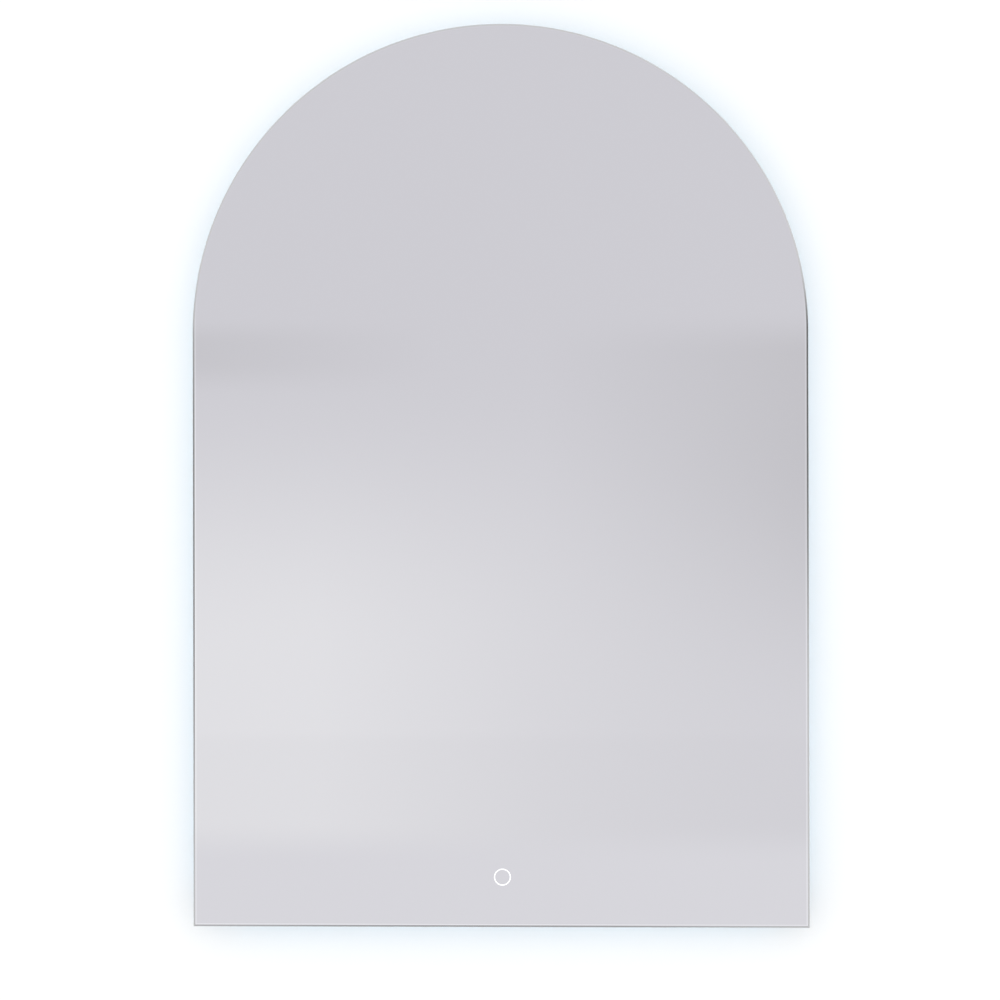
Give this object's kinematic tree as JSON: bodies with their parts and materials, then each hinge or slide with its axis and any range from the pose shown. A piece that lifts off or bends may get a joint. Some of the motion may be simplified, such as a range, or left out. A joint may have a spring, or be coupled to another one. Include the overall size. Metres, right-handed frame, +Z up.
{
  "type": "lighted bathroom mirror",
  "caption": "Arch-topped frameless wall mirror with a back-lit glow, a touch ring near its lower edge, and a hooked rail that it lifts off.",
  "frame": {"origin": "on the wall's face, midway between the two slots of the wall rail", "axes": "+X to the viewer's right, +Y into the wall, +Z up; the glass faces -Y"},
  "size_m": [0.75, 0.0408, 1.0999],
  "materials": {
    "silvered_glass": "silvered, polished edge",
    "backing_film": "satin safety film over paint",
    "foam_tape": "closed-cell foam",
    "frame_aluminium": "satin anodised",
    "zinc_steel": "zinc plated",
    "screw_steel": "bright zinc",
    "foot_rubber": "soft matt rubber",
    "opal_diffuser": "opal",
    "strip_board": "white solder mask",
    "led_phosphor": "phosphor under clear resin",
    "white_moulding": "fine texture",
    "circuit_board": "green solder mask",
    "driver_parts": "moulded",
    "terminal_moulding": "nylon",
    "terminal_brass": "bright",
    "gland_nylon": "nylon",
    "seal_rubber": "matt",
    "ring_light": "frosted clear",
    "demister_film": "amber polyimide film",
    "demister_track": "etched foil under film",
    "terminal_cover": "moulded"
  },
  "bodies": {
    "wall_rail": {"wall_rail": "zinc_steel"},
    "mirror": {"mirror_glass": "silvered_glass", "backing_film": "backing_film", "mounting_tape": "foam_tape", "frame_arch": "frame_aluminium", "frame_bottom": "frame_aluminium", "corner_key_right": "zinc_steel", "corner_key_left": "zinc_steel", "corner_screws": "screw_steel", "wall_feet": "foot_rubber", "diffuser_arch": "opal_diffuser", "diffuser_bottom": "opal_diffuser", "led_strip": "strip_board", "led_chips": "led_phosphor", "hanger_rail": "zinc_steel", "hanger_screws": "screw_steel", "equipment_bracket": "zinc_steel", "bracket_screws": "screw_steel", "driver_case": "white_moulding", "driver_lid": "white_moulding", "driver_board": "circuit_board", "driver_parts": "driver_parts", "terminal_box": "white_moulding", "terminal_lid": "white_moulding", "terminal_block": "terminal_moulding", "terminal_screws": "terminal_brass", "case_screws": "screw_steel", "lid_screws": "screw_steel", "gland_body": "gland_nylon", "gland_locknut": "gland_nylon", "gland_seal": "seal_rubber", "gland_cap": "gland_nylon", "sensor_case": "white_moulding", "sensor_board": "circuit_board", "sensor_leds": "led_phosphor", "touch_electrode": "terminal_brass", "ring_light_guide": "ring_light", "demister_pad": "demister_film", "demister_track": "demister_track", "demister_terminal": "terminal_cover", "strip_bush": "seal_rubber"}
  },
  "joints": [
    {"name": "lift_off", "type": "slide", "parent": "wall_rail", "child": "mirror", "axis": [0, 0, 1], "range_m": [0, 0.01]}
  ]
}
